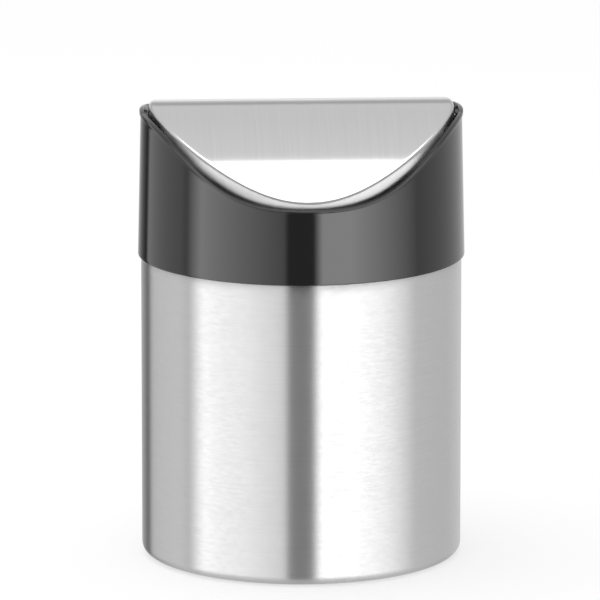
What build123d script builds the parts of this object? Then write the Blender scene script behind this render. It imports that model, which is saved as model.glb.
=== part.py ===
"""Countertop waste bin with a swing lid: steel can, plastic collar, vaulted lid on an axle.

Frame: millimetres, origin on the surface the bin stands on, under its centre. +Z is up, +X runs
along the lid's axle, and -Y is the front.
"""
from math import atan, atan2, cos, degrees, hypot, radians, sin, tan
import os

from build123d import *

os.makedirs("parts", exist_ok=True)

FROM_FOOT = (Align.CENTER, Align.CENTER, Align.MIN)

# ---------------------------------------------------------------- can, drawn from steel sheet
CAN_RADIUS = 58.8
CAN_SHEET = 0.6
CAN_FOOT_ROUND = 3.5
SHOULDER_Z = 107.65         # the straight wall ends here and the mouth is necked in
SHOULDER_HEIGHT = 11.0
NECK_INSET = 1.8            # how much smaller the neck's radius is than the wall's
NECK_HEIGHT = 5.2           # straight neck above the shoulder
HEM_HEIGHT = 4.0            # the rim's edge is folded back inside the neck by this much
HEM_ROUND = 0.54            # on both edges of the folded rim
RECESS_RADIUS = 46.0        # raised middle of the bottom, which holds the pad
RECESS_DEPTH = 1.2
RECESS_SLOPE_RUN = 1.5

# ---------------------------------------------------------------- non-slip pad under the can
PAD_PROUD = 0.4             # how far the pad stands below the steel
PAD_SIDE_GAP = 0.5
PAD_EDGE_ROUND = 0.3

# ---------------------------------------------------------------- collar's outer shell
COLLAR_WALL_FOOT = 1.15     # the foot stands this much outside the can's wall
SHOULDER_SHOWING = 4.5      # height of the shoulder left bare under the collar
COLLAR_DRAFT = 1.25         # degrees, narrower towards the top
BORE_TAPER_HEIGHT = 7.0     # the bore narrows over this height, to clear the shoulder
NECK_GAP = 0.6              # radial gap between the can's neck and the collar's bore
RIM_MEAN_HEIGHT = 40.68     # of the saddle rim above the collar's foot
RIM_SADDLE = -14.305        # height of the cosine with two waves a turn: the two peaks
RIM_FLATTENING = -0.15      # of the one with four waves a turn
RIM_FILLING_OUT = 1.085     # of the one with six waves a turn
RIM_STATION_STEP = 5        # degrees between the points that the rim's surface is drawn through
RIM_STATION_OVERLAP = 15    # degrees drawn past each end of a half, so that the halves meet level
ON_LINE = 0.05              # an edge this near the rim's height, or the lip's foot, lies along it
LIP_BULGE = 0.45            # the lip stands this much outside the wall
LIP_MEAN_HEIGHT = 1.25
LIP_THINNING = 0.45         # the lip is this much lower in front and behind, higher at the peaks
LIP_ROUND = 0.45            # on the lip's outer edge
LIP_BORE_ROUND = 0.35       # on its edge towards the bore
LIP_FOOT_ROUND = 0.15       # on both edges of the lip's underside
SNAP_BEAD_HEIGHT = 2.0
SNAP_BEAD_DEPTH = 0.4
SNAP_BEAD_RISE = 3.0        # from the top of the sleeve's ledge to the bead's middle

# ---------------------------------------------------------------- collar's inner sleeve
SLEEVE_FIT = 0.05           # radial gap between the sleeve and the shell's bore
SLEEVE_WALL = 1.3
SLEEVE_RISE = 9.6           # height of the sleeve's ring above its ledge
LEDGE_THICKNESS = 1.6
SEAT_GAP = 0.1              # between the ledge and the can's rim
SKIRT_GAP = 0.3             # radial gap between the skirt and the can's hem
SKIRT_WALL = 1.4
SKIRT_DEPTH = 18.0
SKIRT_LEAD_IN = 0.8
GRIP_RIB_COUNT = 12
GRIP_RIB_WIDTH = 1.2
GRIP_RIB_FIT = 0.1          # gap left between a rib's crest and the hem

# ---------------------------------------------------------------- ears, bearings and stops
EAR_GAP = 0.4               # between the lid's end and the ears
EAR_HALF_WIDTH_TOP = 6.4
EAR_HALF_WIDTH_FOOT = 9.0
EAR_BELOW_LIP = 1.2         # the ears' tops lie this far below the collar's peaks
BEARING_HALF_WIDTH = 3.4
BEARING_DROP = 6.0          # from the axle's centre to the bearing's foot
BEARING_FIT = 0.05
AXLE_CLEARANCE = 0.05       # radial running clearance of the axle in its bearings
THROAT_WIDTH = 2.2          # the axle snaps in from above through this gap
STOP_HALF_WIDTH = 1.3       # the lid's underside meets the stops at about 87 degrees
STOP_TOP_DROP = 4.2         # from the axle's centre to the stop rib's top
STOP_HEIGHT = 8.0
STOP_REACH = 1.9            # how far the stop rib reaches inward from its ear

# ---------------------------------------------------------------- lid's steel skin
LID_GAP = 1.8               # radial gap between the lid and the collar's bore
LID_SHEET = 0.5
LID_PROUD = 2.4             # the lid's top stands this much above the collar's peaks
LID_FRONT_PROUD = 1.9       # and its front edge, before rounding, this much above the rim
LID_EDGE_ROUND = 1.6
FLANGE_DROP = 2.2           # the flange's lower edge follows the rim, this much lower
TAB_WIDTH = 8.0             # two tabs are crimped under the carrier, front and back
TAB_LENGTH = 2.2

# ---------------------------------------------------------------- lid's plastic carrier and axle
CARRIER_FIT = 0.1           # between the carrier and the steel skin
CARRIER_WALL = 1.4
CARRIER_EDGE_RISE = 0.65    # the carrier's lower edge stops this far above the flange's
RIB_DEPTH = 4.0
RIB_THICKNESS = 1.4
RIB_SPACING = 26.0
EYE_RADIUS = 3.0
AXLE_RADIUS = 1.25
AXLE_BELOW_TOP = 6.1        # from the lid's top to the axle's centre
AXLE_END_GAP = 0.4          # between the axle's end and the shell
AXLE_CHAMFER = 0.25

# ---------------------------------------------------------------- sizes that follow
neck_radius = CAN_RADIUS - NECK_INSET
can_rim_z = SHOULDER_Z + SHOULDER_HEIGHT + NECK_HEIGHT
hem_bore_radius = neck_radius - 2 * CAN_SHEET
shoulder_turn = 2 * atan(NECK_INSET / SHOULDER_HEIGHT)

collar_foot_z = SHOULDER_Z + SHOULDER_SHOWING
collar_foot_radius = CAN_RADIUS + COLLAR_WALL_FOOT
collar_bore_radius = neck_radius + NECK_GAP
above_all_z = collar_foot_z + 4 * RIM_MEAN_HEIGHT

ledge_z = can_rim_z + SEAT_GAP
ledge_top_z = ledge_z + LEDGE_THICKNESS
sleeve_radius = collar_bore_radius - SLEEVE_FIT
sleeve_bore_radius = sleeve_radius - SLEEVE_WALL
sleeve_top_z = ledge_top_z + SLEEVE_RISE
skirt_radius = hem_bore_radius - SKIRT_GAP
skirt_bore_radius = skirt_radius - SKIRT_WALL
snap_bead_z = ledge_top_z + SNAP_BEAD_RISE


def rim_height(turn):
    """Height of the saddle rim at a turn in degrees from the front; level across the lip."""
    angle = radians(turn)
    saddle = RIM_SADDLE * cos(2 * angle)
    trim = RIM_FLATTENING * cos(4 * angle) + RIM_FILLING_OUT * cos(6 * angle)
    return collar_foot_z + RIM_MEAN_HEIGHT + saddle + trim


def lip_foot_height(turn):
    """Height of the lip's underside; the lip is thinnest in front and behind."""
    return rim_height(turn) - LIP_MEAN_HEIGHT + LIP_THINNING * cos(2 * radians(turn))


rim_peak_z = rim_height(90)
lid_radius = collar_bore_radius - LID_GAP
lid_top_z = rim_peak_z + LID_PROUD
axle_z = lid_top_z - AXLE_BELOW_TOP
axle_half_length = collar_bore_radius - AXLE_END_GAP
ear_face_x = lid_radius + EAR_GAP
vault_drop = lid_top_z - rim_height(0) - LID_FRONT_PROUD
vault_radius = (lid_radius**2 + vault_drop**2) / (2 * vault_drop)  # a cylinder along the axle
vault_axis_z = lid_top_z - vault_radius
skin_bore_radius = lid_radius - LID_SHEET
skin_inner_vault = vault_radius - LID_SHEET
skin_inner_round = LID_EDGE_ROUND - LID_SHEET
carrier_radius = skin_bore_radius - CARRIER_FIT
carrier_vault = skin_inner_vault - CARRIER_FIT
carrier_round = skin_inner_round - CARRIER_FIT
carrier_bore_radius = carrier_radius - CARRIER_WALL
carrier_inner_vault = carrier_vault - CARRIER_WALL


# ---------------------------------------------------------------- plain shapes
def ring(bore_radius, outer_radius, low_z, high_z):
    """A plain upright ring between two heights."""
    height = high_z - low_z
    outside = Cylinder(outer_radius, height, align=FROM_FOOT)
    inside = Cylinder(bore_radius, height, align=FROM_FOOT)
    return Pos(0, 0, low_z) * (outside - inside)


def turned(*lines):
    """A solid turned about the Z axis from lines that close a section in the XZ plane."""
    outline = Curve() + list(lines)
    section = make_face(Plane.XZ * outline)
    return revolve(section, Axis.Z)


def block(low_x, high_x, half_width_y, low_z, high_z):
    """A box that is centred on the XZ plane."""
    box = Box(high_x - low_x, 2 * half_width_y, high_z - low_z)
    return Pos((low_x + high_x) / 2, 0, (low_z + high_z) / 2) * box


def along_axle(radius, low_x, length, centre_z=axle_z):
    """A round bar along the X direction; it lies on the lid's axle unless told otherwise."""
    bar = Cylinder(radius, length, align=FROM_FOOT)
    return Pos(low_x, 0, centre_z) * Rot(0, 90, 0) * bar


def right_half():
    """A box that holds everything on the +X side."""
    return Box(
        2 * CAN_RADIUS,
        4 * CAN_RADIUS,
        2 * above_all_z,
        align=(Align.MIN, Align.CENTER, Align.CENTER),
    )


def both_halves(half):
    return half + Rot(0, 0, 180) * half


# ---------------------------------------------------------------- can and pad
def can_form(inset):
    """The can as a full body, `inset` inside its outer skin; the top is left open upwards."""
    wall = CAN_RADIUS - inset
    neck = neck_radius - inset
    floor_z = PAD_PROUD + inset
    recess_z = floor_z + RECESS_DEPTH
    corner = CAN_FOOT_ROUND - inset
    top_z = can_rim_z + inset
    middle = (
        (CAN_RADIUS + neck_radius) / 2 - inset * cos(shoulder_turn),
        SHOULDER_Z + SHOULDER_HEIGHT / 2 - inset * sin(shoulder_turn),
    )
    bottom = Polyline(
        (0, top_z),
        (0, recess_z),
        (RECESS_RADIUS, recess_z),
        (RECESS_RADIUS + RECESS_SLOPE_RUN, floor_z),
        (wall - corner, floor_z),
    )
    foot = RadiusArc((wall - corner, floor_z), (wall, floor_z + corner), -corner)
    side = Line((wall, floor_z + corner), (wall, SHOULDER_Z))
    shoulder = TangentArc((wall, SHOULDER_Z), middle, tangent=(0, 1))
    shoulder_top = (neck, SHOULDER_Z + SHOULDER_HEIGHT)
    hollow = TangentArc(shoulder_top, middle, tangent=(0, -1))
    mouth = Polyline(shoulder_top, (neck, top_z), (0, top_z))
    return turned(bottom, foot, side, shoulder, hollow, mouth)


def make_can_body():
    shell = can_form(0) - can_form(CAN_SHEET)
    hem = ring(hem_bore_radius, neck_radius - CAN_SHEET, can_rim_z - HEM_HEIGHT, can_rim_z)
    can = shell + hem
    rim_edges = can.edges().group_by(Axis.Z)[-1]
    return fillet(rim_edges, HEM_ROUND)


def make_base_pad():
    pad = Cylinder(RECESS_RADIUS - PAD_SIDE_GAP, PAD_PROUD + RECESS_DEPTH, align=FROM_FOOT)
    return fillet(pad.edges().group_by(Axis.Z)[0], PAD_EDGE_ROUND)


# ---------------------------------------------------------------- the saddle rim
def under_line(height_at, lowered=0.0):
    """A thick half ring on the +X side, whose top face follows a line, `lowered` below it."""
    turns = range(-RIM_STATION_OVERLAP, 180 + RIM_STATION_OVERLAP + 1, RIM_STATION_STEP)
    radii = (0.7 * CAN_RADIUS, 0.9 * CAN_RADIUS, CAN_RADIUS, 1.1 * CAN_RADIUS)
    rows = []
    for radius in radii:
        row = []
        for turn in turns:
            across = radius * sin(radians(turn))
            forward = -radius * cos(radians(turn))
            row.append(Vector(across, forward, height_at(turn) - lowered))
        rows.append(row)
    top = Face.make_surface_from_array_of_points(rows, tol=0.001, min_deg=3, max_deg=8)
    return extrude(top, above_all_z, dir=(0, 0, -1))


def edges_along(solid, height_at, inner_radius, outer_radius):
    """The solid's edges that run along a line, between two radii."""
    found = ShapeList()
    for edge in solid.edges():
        middle = edge @ 0.5
        turn = degrees(atan2(middle.X, -middle.Y))
        near = abs(middle.Z - height_at(turn)) < ON_LINE
        between = inner_radius < hypot(middle.X, middle.Y) < outer_radius
        if near and between and edge.length > CAN_RADIUS:
            found.append(edge)
    return found


# ---------------------------------------------------------------- collar's shell
def collar_cone(outset):
    """The collar's drafted outside as a full body, `outset` outside its wall."""
    taper = (above_all_z - collar_foot_z) * tan(radians(COLLAR_DRAFT))
    foot = collar_foot_radius + outset
    return turned(
        Polyline(
            (0, collar_foot_z),
            (foot, collar_foot_z),
            (foot - taper, above_all_z),
            (0, above_all_z),
            (0, collar_foot_z),
        )
    )


def collar_bore():
    """The hollow of the shell: wide at the foot, with a bead that the sleeve snaps on."""
    bead_radius = collar_bore_radius - SNAP_BEAD_DEPTH
    half_bead = SNAP_BEAD_HEIGHT / 2
    return turned(
        Polyline(
            (0, collar_foot_z),
            (CAN_RADIUS, collar_foot_z),
            (collar_bore_radius, collar_foot_z + BORE_TAPER_HEIGHT),
            (collar_bore_radius, snap_bead_z - half_bead),
            (bead_radius, snap_bead_z),
            (collar_bore_radius, snap_bead_z + half_bead),
            (collar_bore_radius, above_all_z),
            (0, above_all_z),
            (0, collar_foot_z),
        )
    )


def make_collar_shell():
    """Drafted wall under the saddle rim, with a rounded lip that stands out along the rim."""
    outside = collar_cone(LIP_BULGE) & right_half() & under_line(rim_height)
    below_lip = under_line(lip_foot_height) - collar_cone(0)
    half = outside - below_lip - collar_bore()
    middle_radius = (collar_bore_radius + CAN_RADIUS) / 2
    beyond_radius = 2 * CAN_RADIUS
    outer_edge = edges_along(half, rim_height, middle_radius, beyond_radius)
    half = fillet(outer_edge, LIP_ROUND)
    bore_edge = edges_along(half, rim_height, sleeve_radius, middle_radius)
    half = fillet(bore_edge, LIP_BORE_ROUND)
    underside = edges_along(half, lip_foot_height, middle_radius, beyond_radius)
    half = fillet(underside, LIP_FOOT_ROUND)
    return both_halves(half)


# ---------------------------------------------------------------- collar's sleeve
def grip_ribs():
    """Small upright ribs on the skirt, which hold the collar firmly in the can's mouth."""
    crest_radius = hem_bore_radius - GRIP_RIB_FIT
    root_radius = skirt_radius - SKIRT_WALL / 2
    low_z = ledge_z - SKIRT_DEPTH + 2 * SKIRT_LEAD_IN
    rib = block(root_radius, crest_radius, GRIP_RIB_WIDTH / 2, low_z, ledge_z)
    return [Rot(0, 0, place * 360 / GRIP_RIB_COUNT) * rib for place in range(GRIP_RIB_COUNT)]


def sleeve_section():
    """The sleeve's turned section: skirt, ledge, and a ring with a groove for the snap bead."""
    skirt_foot_z = ledge_z - SKIRT_DEPTH
    half_bead = SNAP_BEAD_HEIGHT / 2
    return Polyline(
        (skirt_bore_radius, skirt_foot_z),
        (skirt_radius - SKIRT_LEAD_IN / 2, skirt_foot_z),
        (skirt_radius, skirt_foot_z + SKIRT_LEAD_IN),
        (skirt_radius, ledge_z),
        (sleeve_radius, ledge_z),
        (sleeve_radius, snap_bead_z - half_bead),
        (sleeve_radius - SNAP_BEAD_DEPTH, snap_bead_z),
        (sleeve_radius, snap_bead_z + half_bead),
        (sleeve_radius, sleeve_top_z),
        (sleeve_bore_radius, sleeve_top_z),
        (sleeve_bore_radius, ledge_top_z),
        (skirt_bore_radius, ledge_top_z),
        (skirt_bore_radius, skirt_foot_z),
    )


def right_ear():
    """The post at +X that carries a bearing, with the stop rib below it."""
    foot_z = snap_bead_z + SNAP_BEAD_HEIGHT / 2
    top_z = rim_peak_z - EAR_BELOW_LIP
    outline = Polyline(
        (-EAR_HALF_WIDTH_FOOT, foot_z),
        (EAR_HALF_WIDTH_FOOT, foot_z),
        (EAR_HALF_WIDTH_TOP, top_z),
        (-EAR_HALF_WIDTH_TOP, top_z),
        (-EAR_HALF_WIDTH_FOOT, foot_z),
    )
    plate = extrude(Plane.YZ.offset(ear_face_x) * make_face(outline), CAN_RADIUS - ear_face_x)
    within = Cylinder(sleeve_radius, above_all_z, align=FROM_FOOT)
    pocket_half_width = BEARING_HALF_WIDTH + BEARING_FIT
    pocket_foot_z = axle_z - BEARING_DROP - BEARING_FIT
    pocket = block(0, CAN_RADIUS, pocket_half_width, pocket_foot_z, above_all_z)
    stop_top_z = axle_z - STOP_TOP_DROP
    stop = block(
        ear_face_x - STOP_REACH,
        ear_face_x,
        STOP_HALF_WIDTH,
        stop_top_z - STOP_HEIGHT,
        stop_top_z,
    )
    return (plate & within) - pocket + stop


def make_collar_sleeve():
    sleeve = turned(sleeve_section())
    for rib in grip_ribs():
        sleeve += rib
    return both_halves((sleeve & right_half()) + right_ear())


# ---------------------------------------------------------------- bearings
def make_bearing_right():
    """A snap block: the axle drops in from above and turns in a round seat."""
    inner_x = ear_face_x + BEARING_FIT
    thickness = sleeve_radius - inner_x
    foot = block(inner_x, sleeve_radius, BEARING_HALF_WIDTH, axle_z - BEARING_DROP, axle_z)
    head = along_axle(BEARING_HALF_WIDTH, inner_x, thickness)
    within = Cylinder(sleeve_radius, above_all_z, align=FROM_FOOT)
    seat = along_axle(AXLE_RADIUS + AXLE_CLEARANCE, 0, CAN_RADIUS)
    throat = block(0, CAN_RADIUS, THROAT_WIDTH / 2, axle_z, above_all_z)
    return ((foot + head) & within) - seat - throat


def make_bearing_left():
    return Rot(0, 0, 180) * make_bearing_right()


# ---------------------------------------------------------------- lid
def vault(plan_radius, arc_radius, edge_round):
    """A round post that ends in part of a cylinder along the axle, with a rounded upper edge."""
    post = Pos(0, 0, vault_axis_z) * Cylinder(plan_radius, 2 * arc_radius, align=FROM_FOOT)
    solid = post & along_axle(arc_radius, -CAN_RADIUS, 2 * CAN_RADIUS, vault_axis_z)
    upper_edges = [
        edge
        for edge in solid.edges()
        if edge.geom_type != GeomType.LINE and edge.center().Z > vault_axis_z + edge_round
    ]
    return fillet(upper_edges, edge_round)


def trimmed_to_rim(dome, lowered):
    """The dome without its part below the rim's line, `lowered` under it."""
    half = (dome & right_half()) - under_line(rim_height, lowered)
    return both_halves(half)


def make_lid_skin():
    """Vaulted steel sheet with a narrow flange and two tabs crimped under the carrier."""
    outside = vault(lid_radius, vault_radius, LID_EDGE_ROUND)
    inside = vault(skin_bore_radius, skin_inner_vault, skin_inner_round)
    skin = trimmed_to_rim(outside - inside, FLANGE_DROP)
    flange_foot_z = rim_height(0) - FLANGE_DROP
    tab = block(
        skin_bore_radius - TAB_LENGTH,
        skin_bore_radius + LID_SHEET / 2,
        TAB_WIDTH / 2,
        flange_foot_z,
        flange_foot_z + LID_SHEET,
    )
    return skin + Rot(0, 0, 90) * tab + Rot(0, 0, -90) * tab


def make_lid_carrier():
    """Plastic insert under the skin: vault, rim wall, cross ribs and eyes for the axle."""
    outside = vault(carrier_radius, carrier_vault, carrier_round)
    inside = vault(carrier_bore_radius, carrier_inner_vault, carrier_round)
    rib_body = vault(
        carrier_bore_radius + CARRIER_WALL / 2,
        carrier_inner_vault + CARRIER_WALL / 2,
        carrier_round,
    )
    rib_body -= along_axle(
        carrier_inner_vault - RIB_DEPTH, -CAN_RADIUS, 2 * CAN_RADIUS, vault_axis_z
    )
    carrier = outside - inside
    for place in (-RIB_SPACING, 0, RIB_SPACING):
        slab = Pos(place, 0, 0) * Box(RIB_THICKNESS, 4 * CAN_RADIUS, 2 * above_all_z)
        carrier += rib_body & slab
        carrier += along_axle(EYE_RADIUS, place - RIB_THICKNESS / 2, RIB_THICKNESS)
    carrier = trimmed_to_rim(carrier, FLANGE_DROP - CARRIER_EDGE_RISE)
    return carrier - along_axle(AXLE_RADIUS, -CAN_RADIUS, 2 * CAN_RADIUS)


def make_lid_axle():
    rod = along_axle(AXLE_RADIUS, -axle_half_length, 2 * axle_half_length)
    return chamfer(rod.edges().filter_by(GeomType.CIRCLE), AXLE_CHAMFER)


NODES = {
    "can_body": make_can_body,
    "base_pad": make_base_pad,
    "collar_shell": make_collar_shell,
    "collar_sleeve": make_collar_sleeve,
    "bearing_left": make_bearing_left,
    "bearing_right": make_bearing_right,
    "lid_skin": make_lid_skin,
    "lid_carrier": make_lid_carrier,
    "lid_axle": make_lid_axle,
}

for node, make in NODES.items():
    solid = make()
    print(node, round(solid.volume, 1), len(solid.solids()), solid.is_valid)
    export_step(solid, f"parts/{node}.step")
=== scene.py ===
import math

import bpy
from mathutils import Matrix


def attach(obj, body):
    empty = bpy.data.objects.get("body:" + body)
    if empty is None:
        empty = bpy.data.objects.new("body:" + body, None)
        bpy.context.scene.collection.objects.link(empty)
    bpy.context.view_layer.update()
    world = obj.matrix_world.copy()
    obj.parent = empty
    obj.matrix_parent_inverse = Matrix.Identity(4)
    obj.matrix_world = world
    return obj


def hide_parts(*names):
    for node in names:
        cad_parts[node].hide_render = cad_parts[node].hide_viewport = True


# Countertop waste bin with a swing lid. Sizes are in millimetres and become metres where a mesh
# is made; the origin is on the surface that the bin stands on, and -Y is the front.
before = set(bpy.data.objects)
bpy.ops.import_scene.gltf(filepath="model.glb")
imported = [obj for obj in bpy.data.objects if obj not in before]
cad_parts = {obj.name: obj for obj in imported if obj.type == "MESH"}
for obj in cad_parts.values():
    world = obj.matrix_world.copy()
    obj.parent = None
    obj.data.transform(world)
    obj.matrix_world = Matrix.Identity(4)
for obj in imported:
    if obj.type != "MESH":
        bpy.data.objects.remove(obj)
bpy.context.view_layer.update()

MM = 0.001
ROUND_STEPS = 256           # points round every turned piece
DOUBLED = 0.002             # points nearer than this are one point

# ---------------------------------------------------------------- sizes, as in the solids
CAN_RADIUS = 58.8
CAN_SHEET = 0.6
CAN_FOOT_Z = 0.4
CAN_FOOT_ROUND = 3.5
RECESS_RADIUS = 46.0
RECESS_SLOPE_RUN = 1.5
RECESS_DEPTH = 1.2
SHOULDER_Z = 107.65
SHOULDER_HEIGHT = 11.0
NECK_RADIUS = 57.0
CAN_RIM_Z = 123.85
HEM_HEIGHT = 4.0
HEM_ROUND = 0.54
BOTTOM_MIDDLE = 2.0         # radius of the flat disc in the middle of the bottom
RING_IN_RECESS = 0.3        # rings this near the recess's slope and the foot's round keep the
RING_BY_SLOPE = 0.4         # flats between them flat
RING_BY_FOOT = 0.5

COLLAR_FOOT_Z = 112.15
COLLAR_FOOT_RADIUS = 59.95
COLLAR_DRAFT = math.radians(1.25)
COLLAR_BORE_FOOT_RADIUS = 58.8
COLLAR_BORE_RADIUS = 57.6
BORE_TAPER_HEIGHT = 7.0
COLLAR_EDGE_ROUND = 0.2     # the mould leaves the foot's edges this soft
SNAP_BEAD_Z = 128.55
SNAP_BEAD_HEIGHT = 2.0
SNAP_BEAD_DEPTH = 0.4
RING_UNDER_FOOT = 0.5       # ring on the foot's underside, in from its outer edge
RING_OVER_TAPER = 0.3
FOOT_SEAM = 0.05            # the foot's and the bore's last rings start this far apart
RIM_MEAN_HEIGHT = 40.68     # of the saddle rim above the collar's foot
RIM_SADDLE = -14.305        # height of the cosine with two waves a turn: the two peaks
RIM_FLATTENING = -0.15      # of the one with four waves a turn
RIM_FILLING_OUT = 1.085     # of the one with six waves a turn
LIP_BULGE = 0.45            # the lip stands this much outside the wall
LIP_MEAN_HEIGHT = 1.25
LIP_THINNING = 0.45         # the lip is this much lower in front and behind, higher at the peaks
LIP_ROUND = 0.45            # the lip's top falls by this much at its outer edge
LIP_CROWN = 1.5             # and starts to fall this far in from it
LIP_BORE_ROUND = 0.35
LIP_FOOT_ROUND = 0.15

LID_RADIUS = 55.8
LID_SHEET = 0.5
LID_TOP_Z = 168.3
LID_FRONT_PROUD = 1.9       # the lid's front edge, before rounding, above the collar's rim
LID_EDGE_ROUND = 1.6
FLANGE_DROP = 2.2           # the flange's edge hangs this far below the collar's rim
FLANGE_FLARE = 0.3          # and stands this far outside its top
TAB_WIDTH = 8.0
TAB_LENGTH = 2.2
TAB_CORNER = 0.3            # the tab starts this far inside each end of its width
ON_EDGE = 0.05              # an edge this near the flange's foot lies along it
VAULT_MIDDLE = 1.2          # the vault's first ring lies within this radius

AXLE_RADIUS = 1.25
AXLE_HALF_LENGTH = 57.2
AXLE_Z = 162.2
AXLE_CHAMFER = 0.25


def rim_height(turn):
    """Height of the collar's saddle rim at a turn from the front, in radians."""
    saddle = RIM_SADDLE * math.cos(2 * turn)
    trim = RIM_FLATTENING * math.cos(4 * turn) + RIM_FILLING_OUT * math.cos(6 * turn)
    return COLLAR_FOOT_Z + RIM_MEAN_HEIGHT + saddle + trim


def lip_foot_height(turn):
    """Height of the lip's underside; the lip is thinnest in front and behind."""
    return rim_height(turn) - LIP_MEAN_HEIGHT + LIP_THINNING * math.cos(2 * turn)


VAULT_DROP = LID_TOP_Z - rim_height(0) - LID_FRONT_PROUD
VAULT_RADIUS = (LID_RADIUS**2 + VAULT_DROP**2) / (2 * VAULT_DROP)


# ---------------------------------------------------------------- shared ways of modelling
def edit(piece):
    """Opens one piece for editing, with nothing selected in it or beside it."""
    bpy.ops.object.select_all(action="DESELECT")
    bpy.context.view_layer.objects.active = piece
    piece.select_set(True)
    bpy.ops.object.mode_set(mode="EDIT")
    bpy.ops.mesh.select_all(action="DESELECT")


def leave_edit():
    bpy.ops.object.mode_set(mode="OBJECT")


def choose_edges(piece, wanted):
    """Selects the edges whose middle, in millimetres, is wanted."""
    leave_edit()
    points = piece.data.vertices
    for edge in piece.data.edges:
        ends = [points[number].co for number in edge.vertices]
        edge.select = wanted((ends[0] + ends[1]) / 2 / MM)
    for point in points:
        point.select = False
    for edge in piece.data.edges:
        if edge.select:
            for number in edge.vertices:
                points[number].select = True
    bpy.ops.object.mode_set(mode="EDIT")


def turned(name, stations, capped=()):
    """A turned shell: a circle at the first station, extruded and resized from one to the next.

    A station is (radius, height). `capped` holds "first", "last" or both, where a ring is filled.
    """
    radius, height = stations[0]
    bpy.ops.object.select_all(action="DESELECT")
    bpy.ops.mesh.primitive_circle_add(
        vertices=ROUND_STEPS, radius=radius * MM, location=(0, 0, height * MM)
    )
    piece = bpy.context.object
    piece.name = name
    bpy.ops.object.transform_apply(location=True, rotation=True, scale=True)
    edit(piece)
    bpy.ops.mesh.select_all(action="SELECT")
    if "first" in capped:
        bpy.ops.mesh.edge_face_add()
        bpy.ops.mesh.select_all(action="SELECT")
    for next_radius, next_height in stations[1:]:
        rise = (next_height - height) * MM
        share = next_radius / radius
        bpy.ops.mesh.extrude_edges_move(TRANSFORM_OT_translate={"value": (0, 0, rise)})
        bpy.ops.transform.resize(value=(share, share, 1), center_override=(0, 0, 0))
        radius, height = next_radius, next_height
    if "last" in capped:
        bpy.ops.mesh.edge_face_add()
    leave_edit()
    return piece


def arc(centre, radius, start, end, steps):
    """Stations along an arc in the section; angles in degrees, anticlockwise from outwards."""
    points = []
    for step in range(steps + 1):
        angle = math.radians(start + (end - start) * step / steps)
        points.append((centre[0] + radius * math.cos(angle), centre[1] + radius * math.sin(angle)))
    return points


def run(start, end, steps):
    """Stations along a straight run, without its two ends, close together near both of them."""
    points = []
    for step in range(1, steps):
        share = 0.5 - 0.5 * math.cos(math.pi * step / steps)
        points.append(tuple(a + (b - a) * share for a, b in zip(start, end)))
    return points


def follow(piece, rows):
    """Moves each ring of a turned piece to its row, which gives (radius, height) for a turn.

    The saddle runs level across the lip, which no operator bends a ring to.
    """
    for place, point in enumerate(piece.data.vertices):
        turn = math.atan2(point.co.x, -point.co.y)
        radius, height = rows[place // ROUND_STEPS](turn)
        point.co.x = radius * math.sin(turn) * MM
        point.co.y = -radius * math.cos(turn) * MM
        point.co.z = height * MM


def apply_modifiers(piece):
    bpy.ops.object.select_all(action="DESELECT")
    bpy.context.view_layer.objects.active = piece
    piece.select_set(True)
    for modifier in list(piece.modifiers):
        bpy.ops.object.modifier_apply(modifier=modifier.name)


def face_outwards(piece):
    """Merges doubled points and turns every face outwards."""
    edit(piece)
    bpy.ops.mesh.select_all(action="SELECT")
    bpy.ops.mesh.remove_doubles(threshold=DOUBLED * MM)
    bpy.ops.mesh.normals_make_consistent(inside=False)
    leave_edit()


def shade(piece, sharper_than=35):
    """Smooth shading that leaves edges sharper than this many degrees crisp."""
    bpy.ops.object.select_all(action="DESELECT")
    bpy.context.view_layer.objects.active = piece
    piece.select_set(True)
    bpy.ops.object.shade_smooth_by_angle(angle=math.radians(sharper_than))


# ---------------------------------------------------------------- colours and materials
def colour(hex_value):
    """An sRGB hex colour as linear RGBA."""
    parts = [int(hex_value[place : place + 2], 16) / 255 for place in (1, 3, 5)]
    linear = [p / 12.92 if p <= 0.04045 else ((p + 0.055) / 1.055) ** 2.4 for p in parts]
    return (*linear, 1.0)


def add_node(tree, kind, settings=(), inputs=()):
    """Adds a node with its settings, and sets or links each input it is given."""
    node = tree.nodes.new(kind)
    for name, value in dict(settings).items():
        setattr(node, name, value)
    for socket, value in dict(inputs).items():
        if isinstance(value, bpy.types.NodeSocket):
            tree.links.new(value, node.inputs[socket])
        else:
            node.inputs[socket].default_value = value
    return node


def new_material(name):
    """A node material with only its output, and that output."""
    material = bpy.data.materials.new(name)
    material.use_nodes = True
    material.node_tree.nodes.clear()
    return material, material.node_tree, add_node(material.node_tree, "ShaderNodeOutputMaterial")


def set_ramp(node, stops):
    """Gives a colour ramp grey stops: (position, value) pairs."""
    ramp = node.color_ramp
    while len(ramp.elements) > 1:
        ramp.elements.remove(ramp.elements[-1])
    for place, (position, value) in enumerate(stops):
        stop = ramp.elements[0] if place == 0 else ramp.elements.new(position)
        stop.position = position
        stop.color = (value, value, value, 1.0)


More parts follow.
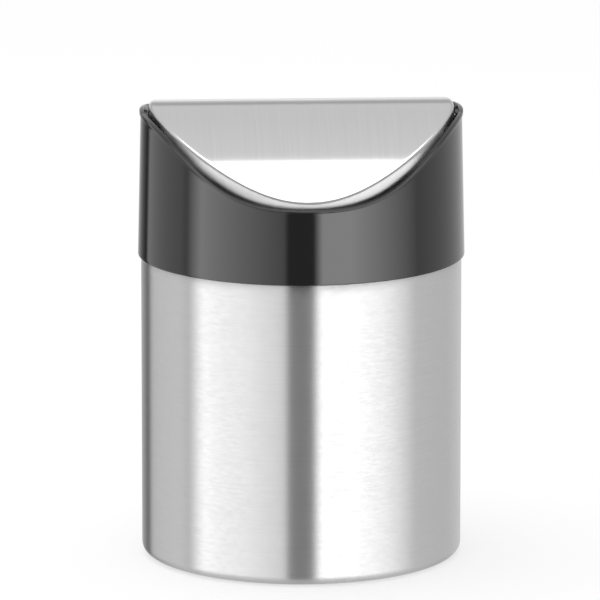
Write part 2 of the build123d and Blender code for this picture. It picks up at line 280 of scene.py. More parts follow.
def brushed_stainless_can():
    """Ferritic stainless sheet, turned against an abrasive belt: fine lines run round the can,
    so reflections stay sharp sideways and smear up and down into long bands."""
    material, tree, output = new_material("brushed_stainless_can")
    place = add_node(tree, "ShaderNodeTexCoord").outputs["Object"]
    # Belt lines are about 0.1 mm apart; they are drawn 0.45 mm apart, to show at all.
    stretched = add_node(
        tree,
        "ShaderNodeMapping",
        inputs={"Vector": place, "Scale": (60, 60, 1 / (0.45 * MM))},
    )
    lines = add_node(
        tree,
        "ShaderNodeTexNoise",
        inputs={"Vector": stretched.outputs[0], "Scale": 1.0, "Detail": 3.0, "Roughness": 0.6},
    )
    tint = add_node(
        tree,
        "ShaderNodeMapRange",
        inputs={0: lines.outputs["Fac"], 1: 0.3, 2: 0.7, 3: 0.0, 4: 1.0},
    )
    steel = add_node(
        tree,
        "ShaderNodeMix",
        {"data_type": "RGBA"},
        {0: tint.outputs[0], 6: colour("#c7c7c7"), 7: colour("#cccccc")},
    )
    # Single scratches are a few millimetres long; they are drawn 0.8 mm wide, to show at all.
    shortened = add_node(
        tree,
        "ShaderNodeMapping",
        inputs={"Vector": place, "Scale": (1 / (3.5 * MM), 1 / (3.5 * MM), 1 / (0.8 * MM))},
    )
    scratches = add_node(
        tree,
        "ShaderNodeTexNoise",
        inputs={"Vector": shortened.outputs[0], "Scale": 1.0, "Detail": 2.0, "Roughness": 0.6},
    )
    dullness = add_node(
        tree,
        "ShaderNodeMapRange",
        inputs={0: scratches.outputs["Fac"], 1: 0.3, 2: 0.7, 3: 0.28, 4: 0.32},
    )
    tangent = add_node(tree, "ShaderNodeTangent", {"direction_type": "RADIAL", "axis": "Z"})
    bump = add_node(
        tree,
        "ShaderNodeBump",
        inputs={"Height": lines.outputs["Fac"], "Strength": 0.03, "Distance": 0.05 * MM},
    )
    surface = add_node(
        tree,
        "ShaderNodeBsdfPrincipled",
        inputs={
            "Base Color": steel.outputs[2],
            "Metallic": 1.0,
            "Roughness": dullness.outputs[0],
            "Anisotropic": 1.0,
            "Anisotropic Rotation": 0.25,
            "Tangent": tangent.outputs[0],
            "Normal": bump.outputs[0],
        },
    )
    tree.links.new(surface.outputs[0], output.inputs[0])
    return material


def satin_stainless_lid():
    """Stainless sheet, satin brushed from front to back: reflections stay clear along the
    vault's curve and blur sideways, with the thin grain only just visible. Drawing the sheet
    down into its flange roughens it, so the flange glows evenly instead of mirroring."""
    material, tree, output = new_material("satin_stainless_lid")
    coordinates = add_node(tree, "ShaderNodeTexCoord")
    place = coordinates.outputs["Object"]
    # The satin grain is under 0.1 mm wide; it is drawn 0.4 mm wide, to show at all.
    stretched = add_node(
        tree,
        "ShaderNodeMapping",
        inputs={"Vector": place, "Scale": (1 / (0.4 * MM), 15, 15)},
    )
    grain = add_node(
        tree,
        "ShaderNodeTexNoise",
        inputs={"Vector": stretched.outputs[0], "Scale": 1.0, "Detail": 3.0, "Roughness": 0.6},
    )
    tint = add_node(
        tree,
        "ShaderNodeMapRange",
        inputs={0: grain.outputs["Fac"], 1: 0.3, 2: 0.7, 3: 0.0, 4: 1.0},
    )
    steel = add_node(
        tree,
        "ShaderNodeMix",
        {"data_type": "RGBA"},
        {0: tint.outputs[0], 6: colour("#c9c9c9"), 7: colour("#cdcdcd")},
    )
    dullness = add_node(
        tree,
        "ShaderNodeMapRange",
        inputs={0: grain.outputs["Fac"], 1: 0.3, 2: 0.7, 3: 0.21, 4: 0.23},
    )
    # The flange is drawn deepest in front and behind; a normal (x, y, z) there has a large
    # y * y - 2 * z * z, which is small at the sides and all over the vault.
    facing = coordinates.outputs["Normal"]
    weighted = add_node(
        tree, "ShaderNodeVectorMath", {"operation": "MULTIPLY"}, {0: facing, 1: (0, 1, -2)}
    )
    drawn = add_node(
        tree,
        "ShaderNodeVectorMath",
        {"operation": "DOT_PRODUCT"},
        {0: facing, 1: weighted.outputs[0]},
    )
    drawn_dullness = add_node(
        tree,
        "ShaderNodeMapRange",
        inputs={0: drawn.outputs["Value"], 1: -0.1, 2: 0.5, 3: 0.1, 4: 0.52},
    )
    worst_dullness = add_node(
        tree,
        "ShaderNodeMath",
        {"operation": "MAXIMUM"},
        {0: dullness.outputs[0], 1: drawn_dullness.outputs[0]},
    )
    tangent = add_node(tree, "ShaderNodeTangent", {"direction_type": "RADIAL", "axis": "X"})
    surface = add_node(
        tree,
        "ShaderNodeBsdfPrincipled",
        inputs={
            "Base Color": steel.outputs[2],
            "Metallic": 1.0,
            "Roughness": worst_dullness.outputs[0],
            "Anisotropic": 0.95,
            "Anisotropic Rotation": 0.25,
            "Tangent": tangent.outputs[0],
        },
    )
    tree.links.new(surface.outputs[0], output.inputs[0])
    return material


def gloss_black_abs():
    """ABS moulded in a polished tool: a clear mirror over near black, with the faint long
    waves that a moulded wall keeps."""
    material, tree, output = new_material("gloss_black_abs")
    place = add_node(tree, "ShaderNodeTexCoord").outputs["Object"]
    waves = add_node(
        tree,
        "ShaderNodeTexNoise",
        inputs={"Vector": place, "Scale": 1 / (14 * MM), "Detail": 1.0, "Roughness": 0.4},
    )
    bump = add_node(
        tree,
        "ShaderNodeBump",
        inputs={"Height": waves.outputs["Fac"], "Strength": 0.25, "Distance": 0.04 * MM},
    )
    haze = add_node(
        tree,
        "ShaderNodeTexNoise",
        inputs={"Vector": place, "Scale": 1 / (6 * MM), "Detail": 4.0, "Roughness": 0.6},
    )
    dullness = add_node(
        tree,
        "ShaderNodeMapRange",
        inputs={0: haze.outputs["Fac"], 1: 0.3, 2: 0.7, 3: 0.05, 4: 0.08},
    )
    pigment = add_node(
        tree,
        "ShaderNodeMix",
        {"data_type": "RGBA"},
        {0: haze.outputs["Fac"], 6: colour("#090909"), 7: colour("#0c0c0d")},
    )
    surface = add_node(
        tree,
        "ShaderNodeBsdfPrincipled",
        inputs={
            "Base Color": pigment.outputs[2],
            "Roughness": dullness.outputs[0],
            "IOR": 1.54,
            "Normal": bump.outputs[0],
        },
    )
    tree.links.new(surface.outputs[0], output.inputs[0])
    return material


def spark_texture_black_pp():
    """Polypropylene moulded in a spark-eroded tool: a dull black with a fine even grain."""
    material, tree, output = new_material("spark_texture_black_pp")
    place = add_node(tree, "ShaderNodeTexCoord").outputs["Object"]
    # The grain is about 0.15 mm across; it is drawn 0.3 mm across, to show at all.
    grain = add_node(
        tree,
        "ShaderNodeTexNoise",
        inputs={"Vector": place, "Scale": 1 / (0.3 * MM), "Detail": 2.0, "Roughness": 0.6},
    )
    bump = add_node(
        tree,
        "ShaderNodeBump",
        inputs={"Height": grain.outputs["Fac"], "Strength": 0.04, "Distance": 0.03 * MM},
    )
    pigment = add_node(
        tree,
        "ShaderNodeMix",
        {"data_type": "RGBA"},
        {0: grain.outputs["Fac"], 6: colour("#161617"), 7: colour("#1f1f20")},
    )
    surface = add_node(
        tree,
        "ShaderNodeBsdfPrincipled",
        inputs={
            "Base Color": pigment.outputs[2],
            "Roughness": 0.5,
            "IOR": 1.49,
            "Normal": bump.outputs[0],
        },
    )
    tree.links.new(surface.outputs[0], output.inputs[0])
    return material


def black_acetal():
    """Acetal moulded in black: smooth, a little waxy, with a low sheen."""
    material, tree, output = new_material("black_acetal")
    place = add_node(tree, "ShaderNodeTexCoord").outputs["Object"]
    cloud = add_node(
        tree,
        "ShaderNodeTexNoise",
        inputs={"Vector": place, "Scale": 1 / (1.5 * MM), "Detail": 2.0},
    )
    body = add_node(
        tree,
        "ShaderNodeMix",
        {"data_type": "RGBA"},
        {0: cloud.outputs["Fac"], 6: colour("#141414"), 7: colour("#1b1b1c")},
    )
    surface = add_node(
        tree,
        "ShaderNodeBsdfPrincipled",
        inputs={"Base Color": body.outputs[2], "Roughness": 0.32, "IOR": 1.48},
    )
    tree.links.new(surface.outputs[0], output.inputs[0])
    return material


def ground_chrome_rod():
    """Chromed steel rod, ground before plating: bright, with faint rings round it."""
    material, tree, output = new_material("ground_chrome_rod")
    place = add_node(tree, "ShaderNodeTexCoord").outputs["Object"]
    stretched = add_node(
        tree,
        "ShaderNodeMapping",
        inputs={"Vector": place, "Scale": (1 / (0.3 * MM), 60, 60)},
    )
    rings = add_node(
        tree,
        "ShaderNodeTexNoise",
        inputs={"Vector": stretched.outputs[0], "Scale": 1.0, "Detail": 2.0},
    )
    dullness = add_node(
        tree,
        "ShaderNodeMapRange",
        inputs={0: rings.outputs["Fac"], 1: 0.3, 2: 0.7, 3: 0.1, 4: 0.18},
    )
    surface = add_node(
        tree,
        "ShaderNodeBsdfPrincipled",
        inputs={
            "Base Color": colour("#c9cbcd"),
            "Metallic": 1.0,
            "Roughness": dullness.outputs[0],
        },
    )
    tree.links.new(surface.outputs[0], output.inputs[0])
    return material


def pressed_rubber():
    """Thermoplastic rubber pressed into a pad: dark, dull and slightly mottled."""
    material, tree, output = new_material("pressed_rubber")
    place = add_node(tree, "ShaderNodeTexCoord").outputs["Object"]
    mottle = add_node(
        tree,
        "ShaderNodeTexNoise",
        inputs={"Vector": place, "Scale": 1 / (0.8 * MM), "Detail": 4.0, "Roughness": 0.65},
    )
    bump = add_node(
        tree,
        "ShaderNodeBump",
        inputs={"Height": mottle.outputs["Fac"], "Strength": 0.4, "Distance": 0.08 * MM},
    )
    body = add_node(
        tree,
        "ShaderNodeMix",
        {"data_type": "RGBA"},
        {0: mottle.outputs["Fac"], 6: colour("#1b1b1c"), 7: colour("#2a2a2b")},
    )
    surface = add_node(
        tree,
        "ShaderNodeBsdfPrincipled",
        inputs={"Base Color": body.outputs[2], "Roughness": 0.75, "Normal": bump.outputs[0]},
    )
    tree.links.new(surface.outputs[0], output.inputs[0])
    return material


# ---------------------------------------------------------------- can
def make_can():
    """Deep-drawn steel can: recessed bottom, rounded foot, necked mouth and folded hem."""
    foot_round_z = CAN_FOOT_Z + CAN_FOOT_ROUND
    foot_centre = (CAN_RADIUS - CAN_FOOT_ROUND, foot_round_z)
    recess_z = CAN_FOOT_Z + RECESS_DEPTH
    shoulder_turn = 2 * math.atan((CAN_RADIUS - NECK_RADIUS) / SHOULDER_HEIGHT)
    sweep = math.degrees(shoulder_turn)
    shoulder_radius = SHOULDER_HEIGHT / 2 / math.sin(shoulder_turn)
    shoulder_top_z = SHOULDER_Z + SHOULDER_HEIGHT
    hem_bore = NECK_RADIUS - 2 * CAN_SHEET
    inner_neck = NECK_RADIUS - CAN_SHEET
    inner_wall = CAN_RADIUS - CAN_SHEET
    inner_floor = CAN_FOOT_Z + CAN_SHEET
    hem_foot_z = CAN_RIM_Z - HEM_HEIGHT
    rim_round_z = CAN_RIM_Z - HEM_ROUND

    wall_foot = (CAN_RADIUS, foot_round_z)
    wall_top = (CAN_RADIUS, SHOULDER_Z)
    neck_foot = (NECK_RADIUS, shoulder_top_z)
    neck_top = (NECK_RADIUS, rim_round_z)
    outer_belly = (CAN_RADIUS - shoulder_radius, SHOULDER_Z)
    outer_hollow = (NECK_RADIUS + shoulder_radius, shoulder_top_z)
    outside = [
        (BOTTOM_MIDDLE, recess_z),
        (RECESS_RADIUS - RING_IN_RECESS, recess_z),
        (RECESS_RADIUS, recess_z),
        (RECESS_RADIUS + RECESS_SLOPE_RUN, CAN_FOOT_Z),
        (RECESS_RADIUS + RECESS_SLOPE_RUN + RING_BY_SLOPE, CAN_FOOT_Z),
        (foot_centre[0] - RING_BY_FOOT, CAN_FOOT_Z),
        *arc(foot_centre, CAN_FOOT_ROUND, -90, 0, 12),
        *run(wall_foot, wall_top, 24),
        *arc(outer_belly, shoulder_radius, 0, sweep, 8),
        *arc(outer_hollow, shoulder_radius, 180 + sweep, 180, 8)[1:],
        *run(neck_foot, neck_top, 6),
        *arc((NECK_RADIUS - HEM_ROUND, rim_round_z), HEM_ROUND, 0, 90, 5),
    ]
    inner_belly = (inner_wall - shoulder_radius + CAN_SHEET, SHOULDER_Z)
    inner_hollow = (inner_neck + shoulder_radius + CAN_SHEET, shoulder_top_z)
    inner_round = CAN_FOOT_ROUND - CAN_SHEET
    inside = [
        *arc((hem_bore + HEM_ROUND, rim_round_z), HEM_ROUND, 90, 180, 5),
        *run((hem_bore, rim_round_z), (hem_bore, hem_foot_z), 4),
        (hem_bore, hem_foot_z),
        (inner_neck, hem_foot_z),
        *arc(inner_hollow, shoulder_radius + CAN_SHEET, 180, 180 + sweep, 8),
        *arc(inner_belly, shoulder_radius - CAN_SHEET, sweep, 0, 8)[1:],
        *run((inner_wall, SHOULDER_Z), (inner_wall, foot_round_z), 24),
        *arc(foot_centre, inner_round, 0, -90, 8),
        (RECESS_RADIUS + RECESS_SLOPE_RUN, inner_floor),
        (RECESS_RADIUS, inner_floor + RECESS_DEPTH),
        (BOTTOM_MIDDLE, inner_floor + RECESS_DEPTH),
    ]
    can = turned("steel_can", outside + inside, capped=("first", "last"))
    face_outwards(can)
    shade(can, 40)
    return can


# ---------------------------------------------------------------- collar
def wall_radius(height):
    return COLLAR_FOOT_RADIUS - (height - COLLAR_FOOT_Z) * math.tan(COLLAR_DRAFT)


def fixed(radius, height):
    """A row at one radius and height all round."""
    return lambda turn: (radius, height)


def on_wall(share):
    """A row on the collar's outside, at a share of the way from its foot to under the lip."""
    low = COLLAR_FOOT_Z + COLLAR_EDGE_ROUND

    def place(turn):
        high = lip_foot_height(turn) - LIP_FOOT_ROUND
        height = low + (high - low) * share
        return wall_radius(height), height

    return place


def under_lip(angle):
    """A row on the hollow round between the wall and the lip's underside."""

    def place(turn):
        ledge = lip_foot_height(turn)
        wall = wall_radius(ledge - LIP_FOOT_ROUND)
        across = wall + LIP_FOOT_ROUND * (1 - math.cos(angle))
        return across, ledge - LIP_FOOT_ROUND * (1 - math.sin(angle))

    return place


def lip_face(turn):
    return wall_radius(rim_height(turn)) + LIP_BULGE


def on_lip_foot(angle):
    """A row on the round under the lip's face; 0 is down and 90 degrees is outwards."""

    def place(turn):
        across = lip_face(turn) - LIP_FOOT_ROUND * (1 - math.sin(angle))
        return across, lip_foot_height(turn) + LIP_FOOT_ROUND * (1 - math.cos(angle))

    return place


def on_lip_crown(angle):
    """A row on the oval round over the lip's face; 0 is outwards and 90 degrees is up."""

    def place(turn):
        across = lip_face(turn) - LIP_CROWN * (1 - math.cos(angle))
        return across, rim_height(turn) - LIP_ROUND * (1 - math.sin(angle))

    return place


def on_bore_round(angle):
    """A row on the round between the lip's top and the bore; 0 faces the bore, 90 is up."""

    def place(turn):
        centre = rim_height(turn) - LIP_BORE_ROUND
        across = COLLAR_BORE_RADIUS + LIP_BORE_ROUND * (1 - math.cos(angle))
        return across, centre + LIP_BORE_ROUND * math.sin(angle)

    return place


def down_bore(share):
    """A row on the bore, at a share of the way from the lip down to the snap bead."""
    low = SNAP_BEAD_Z + SNAP_BEAD_HEIGHT / 2

    def place(turn):
        high = rim_height(turn) - LIP_BORE_ROUND
        return COLLAR_BORE_RADIUS, high + (low - high) * share

    return place


def quarter(steps):
    """Angles from 0 to 90 degrees, both included."""
    return [math.pi / 2 * step / steps for step in range(steps + 1)]


def make_collar():
    """Moulded collar: drafted wall, saddle rim and a rounded lip that stands out along it."""
    foot = COLLAR_FOOT_Z
    edge = COLLAR_EDGE_ROUND
    bead_half = SNAP_BEAD_HEIGHT / 2
    bead_radius = COLLAR_BORE_RADIUS - SNAP_BEAD_DEPTH
    taper_top = foot + BORE_TAPER_HEIGHT
    rows = [fixed(COLLAR_BORE_FOOT_RADIUS + FOOT_SEAM, foot)]
    rows.append(fixed(COLLAR_FOOT_RADIUS - RING_UNDER_FOOT, foot))
    for angle in quarter(3):
        across = COLLAR_FOOT_RADIUS - edge * (1 - math.sin(angle))
        rows.append(fixed(across, foot + edge * (1 - math.cos(angle))))
    for share in (0.02, 0.1, 0.25, 0.4, 0.55, 0.7, 0.82, 0.92, 0.98, 1.0):
        rows.append(on_wall(share))
    for angle in quarter(3)[1:]:
        rows.append(under_lip(angle))
    for angle in quarter(3):
        rows.append(on_lip_foot(angle))
    for angle in quarter(10):
        rows.append(on_lip_crown(angle))
    for angle in reversed(quarter(6)):
        rows.append(on_bore_round(angle))
    for share in (0.05, 0.3, 0.6, 0.9):
        rows.append(down_bore(share))
    rows.append(fixed(COLLAR_BORE_RADIUS, SNAP_BEAD_Z + bead_half))
    rows.append(fixed(bead_radius, SNAP_BEAD_Z))
    rows.append(fixed(COLLAR_BORE_RADIUS, SNAP_BEAD_Z - bead_half))
    rows.append(fixed(COLLAR_BORE_RADIUS, taper_top + RING_OVER_TAPER))
    rows.append(fixed(COLLAR_BORE_RADIUS, taper_top))
    rows.append(fixed(COLLAR_BORE_FOOT_RADIUS, foot + FOOT_SEAM))

    blank = [(COLLAR_FOOT_RADIUS, foot + place) for place in range(len(rows))]
    collar = turned("collar", blank)
    follow(collar, rows)
    edit(collar)
    # The bore's last ring and the foot's first one are joined into one closed wall.
    seam_top = foot + 2 * FOOT_SEAM
    seam_radius = COLLAR_BORE_FOOT_RADIUS + 2 * FOOT_SEAM
    choose_edges(collar, lambda m: m.z < seam_top and math.hypot(m.x, m.y) < seam_radius)
    bpy.ops.mesh.bridge_edge_loops()
    leave_edit()
    face_outwards(collar)
    shade(collar, 35)
    return collar


# ---------------------------------------------------------------- lid
def vault_height(radius, turn):
    """Height of the lid's vault above a point of its plan."""
    forward = radius * math.cos(turn)
    return LID_TOP_Z - VAULT_RADIUS + math.sqrt(VAULT_RADIUS**2 - forward**2)


def edge_start(turn):
    """Where the vault turns into its rounded edge: (radius, slope angle there)."""
    radius = LID_RADIUS - LID_EDGE_ROUND
    slope = 0.0
    for _ in range(6):
        forward = radius * math.cos(turn)
        fall = forward * math.cos(turn) / math.sqrt(VAULT_RADIUS**2 - forward**2)
        slope = math.atan(fall)
        radius = LID_RADIUS - LID_EDGE_ROUND * (1 - math.sin(slope))
    return radius, slope


def on_vault(share):
    """A row on the vault, at a share of the way from its middle to its rounded edge."""

    def place(turn):
        radius = edge_start(turn)[0] * share
        return radius, vault_height(radius, turn)

    return place


def on_lid_edge(share):
    """A row on the rounded edge, from the vault to the upright flange."""

    def place(turn):
        start_radius, slope = edge_start(turn)
        centre = vault_height(start_radius, turn) - LID_EDGE_ROUND * math.cos(slope)
        angle = slope + (math.pi / 2 - slope) * share
        across = LID_RADIUS - LID_EDGE_ROUND * (1 - math.sin(angle))
        return across, centre + LID_EDGE_ROUND * math.cos(angle)

    return place


def on_flange(share):
    """A row on the upright flange, down to its edge, which follows the collar's rim."""
    edge_foot = on_lid_edge(1.0)

    def place(turn):
        high = edge_foot(turn)[1]
        low = rim_height(turn) - FLANGE_DROP
        return LID_RADIUS + FLANGE_FLARE * share**2, high + (low - high) * share

    return place


def make_lid():
    """Pressed steel lid: a vault with a rounded edge, a narrow flange and two folded tabs."""
    shares = [0.02, 0.08, 0.16, 0.25, 0.34, 0.43, 0.52, 0.61, 0.7, 0.78, 0.85, 0.91, 0.96, 0.99, 1]
    rows = [on_vault(share) for share in shares]
    rows += [on_lid_edge(step / 8) for step in range(1, 9)]
    rows += [on_flange(share) for share in (0.08, 0.5, 0.92, 1.0)]
    blank = [(LID_RADIUS, LID_TOP_Z - place) for place in range(len(rows))]
    lid = turned("steel_lid", blank)
    follow(lid, rows)
    edit(lid)
    # The first ring closes to a point in the middle of the vault.
    choose_edges(lid, lambda m: math.hypot(m.x, m.y) < VAULT_MIDDLE)
    bpy.ops.mesh.merge(type="CENTER")
    # A short stretch of the flange's edge, front and back, is folded under as a tab.
    tab_z = rim_height(0) - FLANGE_DROP + ON_EDGE
    tab_half = TAB_WIDTH / 2 - TAB_CORNER
    for side in (-1, 1):
        bpy.ops.mesh.select_all(action="DESELECT")
        choose_edges(lid, lambda m: m.z < tab_z and abs(m.x) < tab_half and m.y * side > 0)
        bpy.ops.mesh.extrude_edges_move(
            TRANSFORM_OT_translate={"value": (0, -side * TAB_LENGTH * MM, 0)}
        )
    leave_edit()
    face_outwards(lid)
    wall = lid.modifiers.new("sheet", "SOLIDIFY")
    wall.thickness = LID_SHEET * MM
    wall.offset = -1.0
    wall.use_even_offset = True
    apply_modifiers(lid)
    shade(lid, 35)
    return lid


def make_axle():
    """Chromed rod with chamfered ends."""
    bpy.ops.object.select_all(action="DESELECT")
    bpy.ops.mesh.primitive_cylinder_add(
        vertices=48,
        radius=AXLE_RADIUS * MM,
        depth=2 * AXLE_HALF_LENGTH * MM,
        location=(0, 0, AXLE_Z * MM),
        rotation=(0, math.radians(90), 0),
    )
    axle = bpy.context.object
    axle.name = "chromed_axle"
    bpy.ops.object.transform_apply(location=True, rotation=True, scale=True)
    edit(axle)
    choose_edges(axle, lambda m: abs(m.x) > AXLE_HALF_LENGTH - 0.01)
    bpy.ops.mesh.bevel(offset=AXLE_CHAMFER * MM, offset_type="WIDTH", segments=1)
    leave_edit()
    shade(axle, 30)
    return axle


# ---------------------------------------------------------------- dress the bin
def dress(piece, material, body, node):
    """Gives a new piece its finish, and puts it in a CAD node's place on its body."""
    piece.data.materials.clear()
    piece.data.materials.append(material)
    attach(piece, body)
    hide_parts(node)


def refinish(node, material):
    """Gives a CAD node that stays as it is its finish."""
    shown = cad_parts[node]
    if not shown.material_slots:
        shown.data.materials.append(material)
    for place in shown.material_slots:
        place.material = material


gloss_black = gloss_black_abs()
dull_black = spark_texture_black_pp()
acetal = black_acetal()

dress(make_can(), brushed_stainless_can(), "can", "can_body")
dress(make_collar(), gloss_black, "collar", "collar_shell")
dress(make_lid(), satin_stainless_lid(), "lid", "lid_skin")
dress(make_axle(), ground_chrome_rod(), "lid", "lid_axle")
refinish("collar_sleeve", dull_black)
refinish("lid_carrier", dull_black)
refinish("bearing_left", acetal)
refinish("bearing_right", acetal)
refinish("base_pad", pressed_rubber())


# ---------------------------------------------------------------- studio
CAMERA_YAW = math.radians(3.0)
CAMERA_HEIGHT_ANGLE = math.radians(12.16)
CAMERA_DISTANCE = 2.95
CAMERA_TARGET = (-0.46 * MM, 0.0, 94.1 * MM)
CAMERA_LENS = 481.6
CAMERA_SENSOR = 36.0

# The studio as the bin mirrors it, white paper being 1. Each light, wall or gap is (from, to,
# brightness where it starts, brightness where it ends), and one fades into the next between them.
# Two tall soft boxes stand at the bin's sides. These are in degrees to the right of the camera:
# first the band just under the horizon that the collar's upright wall mirrors, then all the rest.
LOW_LIGHTS = [
    (-180, -150, 0.9, 0.2),     # wall behind at the left, falling off towards a black flag
    (-145, -142, 0.1, 0.1),     # black flag
    (-137, -95, 0.9, 1.0),      # wall at the left
    (-90, -88, 0.8, 0.8),       # seam before the left box
    (-75, -12, 3.5, 1.2),       # left box, brightest at its far end
    (-9, 9, 0.3, 0.3),          # gap at the camera
    (15, 35, 4.5, 4.5),         # right box
    (90, 180, 0.8, 0.8),        # wall at the right
]
WIDE_LIGHTS = [
    (-180, -150, 1.0, 0.5),     # wall behind at the left, falling off towards the black flag
    (-144, -141, 0.1, 0.1),     # black flag
    (-135, -100, 0.7, 0.9),     # wall at the left
    (-80, -75, 0.6, 0.6),       # seam before the left box
    (-45, -12, 1.1, 1.2),       # left box
    (-8, 8, 0.1, 0.1),          # gap at the camera
    (11, 13, 1.1, 1.1),         # bright edge of the right box
    (22, 32, 0.4, 0.4),         # dim stretch of it
    (65, 95, 1.0, 0.9),         # its far end
    (140, 155, 0.6, 0.6),       # wall at the right
    (175, 180, 0.9, 0.9),       # wall behind
]
# Over the bin, by degrees up from the horizon behind it, over the top, to the one in front.
OVERHEAD_LIGHTS = [
    (0, 3, 1.0, 1.0),           # horizon behind
    (8, 17, 0.6, 0.4),          # dim wall behind
    (18, 83, 0.8, 1.0),         # ceiling
    (85, 113, 4.0, 4.0),        # big soft box, hung a little in front of the bin
    (115, 180, 0.5, 0.5),       # dark end of the studio in front
]
BRIGHTEST = 5.0             # the ramps hold shares of this
CEILING = 0.85              # what is left of the overhead lights at the sides
FLOOR_BOUNCE = 0.75         # the floor, as seen in the bin's reflections
EVEN_LIGHT = 0.9            # on dull surfaces, from every side

# Directions in the studio are unit vectors, so these are sines of angles over the horizon, or
# shares of the way sideways. A pair says where a change starts and where it is done.
BAND_BELOW_HORIZON = 0.205  # 12 degrees down: the middle of the low band
BAND_FADE = (0.15, 0.2)     # up and down from its middle
OVERHEAD_SIDE_FADE = (0.38, 0.55)
BOX_TOP_SLOPE = 0.3         # the side boxes' tops rise towards the front of the studio
BOX_TOP_FADE = (0.27, 0.33)
FLOOR_FADE = (-0.75, -0.45)

PAPER_GLOW = 1.13
PAPER_GLOW_SHARE = 0.5
LAMP_PLACE = (-0.25, 0.1, 1.0)
LAMP_AIM = (0.0, 0.0, 0.05)
LAMP_SIZE = 0.9
LAMP_WATTS = 2.5


def set_lights(node, lights, first, last):
    """Gives a colour ramp the lights of a studio that runs from one angle to another."""
    stops = []
    for start, end, near, far in lights:
        stops.append(((start - first) / (last - first), near / BRIGHTEST))
        stops.append(((end - first) / (last - first), far / BRIGHTEST))
    set_ramp(node, stops)


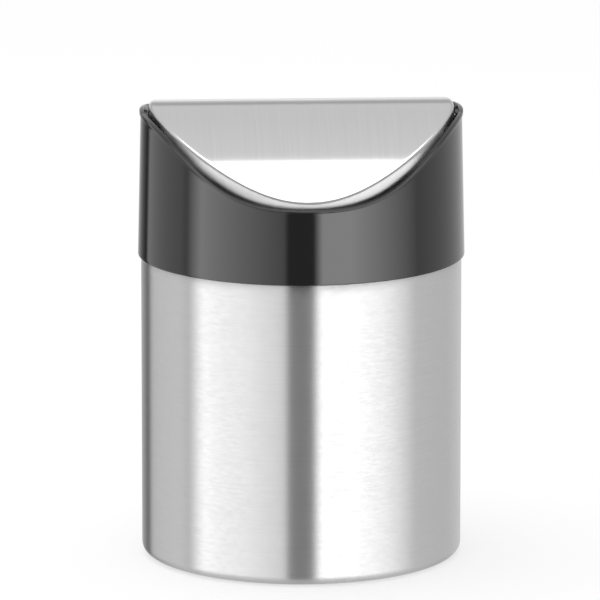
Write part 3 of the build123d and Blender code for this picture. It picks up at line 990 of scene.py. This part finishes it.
def studio_world():
    """White to the camera, even soft light on the bin, and the soft boxes in its reflections."""
    world = bpy.data.worlds.new("studio")
    bpy.context.scene.world = world
    world.use_nodes = True
    tree = world.node_tree
    tree.nodes.clear()
    output = add_node(tree, "ShaderNodeOutputWorld")
    direction = add_node(tree, "ShaderNodeTexCoord").outputs["Generated"]
    turned_to_camera = add_node(
        tree,
        "ShaderNodeMapping",
        inputs={"Vector": direction, "Rotation": (0, 0, CAMERA_YAW)},
    )
    axes = add_node(tree, "ShaderNodeSeparateXYZ", inputs={0: turned_to_camera.outputs[0]})
    towards = add_node(
        tree, "ShaderNodeMath", {"operation": "MULTIPLY"}, {0: axes.outputs[1], 1: -1.0}
    )
    bearing = add_node(
        tree,
        "ShaderNodeMath",
        {"operation": "ARCTAN2"},
        {0: axes.outputs[0], 1: towards.outputs[0]},
    )
    around_place = add_node(
        tree,
        "ShaderNodeMapRange",
        inputs={0: bearing.outputs[0], 1: -math.pi, 2: math.pi, 3: 0.0, 4: 1.0},
    )
    low_band = add_node(tree, "ShaderNodeValToRGB", inputs={0: around_place.outputs[0]})
    set_lights(low_band, LOW_LIGHTS, -180, 180)
    around = add_node(tree, "ShaderNodeValToRGB", inputs={0: around_place.outputs[0]})
    set_lights(around, WIDE_LIGHTS, -180, 180)
    from_middle = add_node(
        tree, "ShaderNodeMath", inputs={0: axes.outputs[2], 1: BAND_BELOW_HORIZON}
    )
    off_band = add_node(
        tree, "ShaderNodeMath", {"operation": "ABSOLUTE"}, {0: from_middle.outputs[0]}
    )
    in_band = add_node(
        tree,
        "ShaderNodeMapRange",
        {"interpolation_type": "SMOOTHSTEP"},
        {0: off_band.outputs[0], 1: BAND_FADE[0], 2: BAND_FADE[1], 3: 1.0, 4: 0.0},
    )
    all_round = add_node(
        tree,
        "ShaderNodeMix",
        {"data_type": "RGBA"},
        {0: in_band.outputs[0], 6: around.outputs[0], 7: low_band.outputs[0]},
    )
    pitch = add_node(
        tree, "ShaderNodeMath", {"operation": "ARCTAN2"}, {0: axes.outputs[2], 1: axes.outputs[1]}
    )
    over_place = add_node(
        tree,
        "ShaderNodeMapRange",
        inputs={0: pitch.outputs[0], 1: 0.0, 2: math.pi, 3: 0.0, 4: 1.0},
    )
    over = add_node(tree, "ShaderNodeValToRGB", inputs={0: over_place.outputs[0]})
    set_lights(over, OVERHEAD_LIGHTS, 0, 180)
    # The box overhead is not very wide: away from the middle, only the ceiling is left.
    sideways = add_node(
        tree, "ShaderNodeMath", {"operation": "ABSOLUTE"}, {0: axes.outputs[0]}
    )
    widest = add_node(
        tree,
        "ShaderNodeMapRange",
        inputs={
            0: sideways.outputs[0],
            1: OVERHEAD_SIDE_FADE[0],
            2: OVERHEAD_SIDE_FADE[1],
            3: 1.0,
            4: CEILING / BRIGHTEST,
        },
    )
    over_limited = add_node(
        tree,
        "ShaderNodeMath",
        {"operation": "MINIMUM"},
        {0: over.outputs[0], 1: widest.outputs[0]},
    )
    # The side boxes end at the horizon behind the bin and about 33 degrees up in front of it.
    edge = add_node(
        tree,
        "ShaderNodeMath",
        {"operation": "MULTIPLY_ADD"},
        {0: axes.outputs[1], 1: BOX_TOP_SLOPE, 2: axes.outputs[2]},
    )
    above = add_node(
        tree,
        "ShaderNodeMapRange",
        {"interpolation_type": "SMOOTHSTEP"},
        {0: edge.outputs[0], 1: BOX_TOP_FADE[0], 2: BOX_TOP_FADE[1], 3: 0.0, 4: 1.0},
    )
    below = add_node(
        tree,
        "ShaderNodeMapRange",
        {"interpolation_type": "SMOOTHSTEP"},
        {0: axes.outputs[2], 1: FLOOR_FADE[0], 2: FLOOR_FADE[1], 3: 0.0, 4: 1.0},
    )
    bounce = FLOOR_BOUNCE / BRIGHTEST
    sides = add_node(
        tree,
        "ShaderNodeMix",
        {"data_type": "RGBA"},
        {0: below.outputs[0], 6: (bounce, bounce, bounce, 1.0), 7: all_round.outputs[2]},
    )
    reflected = add_node(
        tree,
        "ShaderNodeMix",
        {"data_type": "RGBA"},
        {0: above.outputs[0], 6: sides.outputs[2], 7: over_limited.outputs[0]},
    )
    mirror_light = add_node(
        tree, "ShaderNodeBackground", inputs={0: reflected.outputs[2], 1: BRIGHTEST}
    )
    soft_light = add_node(
        tree, "ShaderNodeBackground", inputs={0: colour("#ffffff"), 1: EVEN_LIGHT}
    )
    white = add_node(tree, "ShaderNodeBackground", inputs={0: colour("#ffffff"), 1: 1.0})
    path = add_node(tree, "ShaderNodeLightPath")
    mirrored = add_node(
        tree,
        "ShaderNodeMath",
        {"operation": "MAXIMUM"},
        {0: path.outputs["Is Glossy Ray"], 1: path.outputs["Is Transmission Ray"]},
    )
    lit = add_node(
        tree,
        "ShaderNodeMixShader",
        inputs={0: mirrored.outputs[0], 1: soft_light.outputs[0], 2: mirror_light.outputs[0]},
    )
    shown = add_node(
        tree,
        "ShaderNodeMixShader",
        inputs={0: path.outputs["Is Camera Ray"], 1: lit.outputs[0], 2: white.outputs[0]},
    )
    tree.links.new(shown.outputs[0], output.inputs[0])


def studio_floor():
    """A wide white sweep that the bin stands on; it only takes the bin's shadow."""
    bpy.ops.object.select_all(action="DESELECT")
    bpy.ops.mesh.primitive_plane_add(size=8.0)
    floor = bpy.context.object
    floor.name = "studio_floor"
    material, tree, output = new_material("white_paper_sweep")
    paper = add_node(
        tree, "ShaderNodeBsdfDiffuse", inputs={"Color": colour("#f2f2f2"), "Roughness": 0.0}
    )
    glow = add_node(tree, "ShaderNodeEmission", inputs={0: colour("#ffffff"), 1: PAPER_GLOW})
    path = add_node(tree, "ShaderNodeLightPath")
    both = add_node(
        tree,
        "ShaderNodeMixShader",
        inputs={0: PAPER_GLOW_SHARE, 1: paper.outputs[0], 2: glow.outputs[0]},
    )
    seen = add_node(
        tree,
        "ShaderNodeMixShader",
        inputs={0: path.outputs["Is Camera Ray"], 1: paper.outputs[0], 2: both.outputs[0]},
    )
    tree.links.new(seen.outputs[0], output.inputs[0])
    floor.data.materials.append(material)
    floor.visible_glossy = False


def soft_box(name, place, aim, size, watts):
    """A square lamp that lights the floor and the dull pieces, and isn't mirrored."""
    data = bpy.data.lights.new(name, "AREA")
    data.shape = "SQUARE"
    data.size = size
    data.energy = watts
    lamp = bpy.data.objects.new(name, data)
    bpy.context.scene.collection.objects.link(lamp)
    lamp.location = place
    away = [a - b for a, b in zip(place, aim)]
    lamp.rotation_euler = (
        math.atan2(math.hypot(away[0], away[1]), away[2]),
        0.0,
        math.atan2(away[0], -away[1]),
    )
    lamp.visible_glossy = False
    return lamp


def camera():
    """A long lens a little above the bin, turned slightly to its left."""
    data = bpy.data.cameras.new("camera")
    data.lens = CAMERA_LENS
    data.sensor_width = CAMERA_SENSOR
    seen_from = bpy.data.objects.new("camera", data)
    bpy.context.scene.collection.objects.link(seen_from)
    level = CAMERA_DISTANCE * math.cos(CAMERA_HEIGHT_ANGLE)
    seen_from.location = (
        CAMERA_TARGET[0] - level * math.sin(CAMERA_YAW),
        CAMERA_TARGET[1] - level * math.cos(CAMERA_YAW),
        CAMERA_TARGET[2] + CAMERA_DISTANCE * math.sin(CAMERA_HEIGHT_ANGLE),
    )
    seen_from.rotation_euler = (math.pi / 2 - CAMERA_HEIGHT_ANGLE, 0.0, -CAMERA_YAW)
    bpy.context.scene.camera = seen_from


studio_world()
studio_floor()
soft_box("lamp_overhead", LAMP_PLACE, LAMP_AIM, LAMP_SIZE, LAMP_WATTS)
camera()
bpy.context.scene.view_settings.view_transform = "Standard"
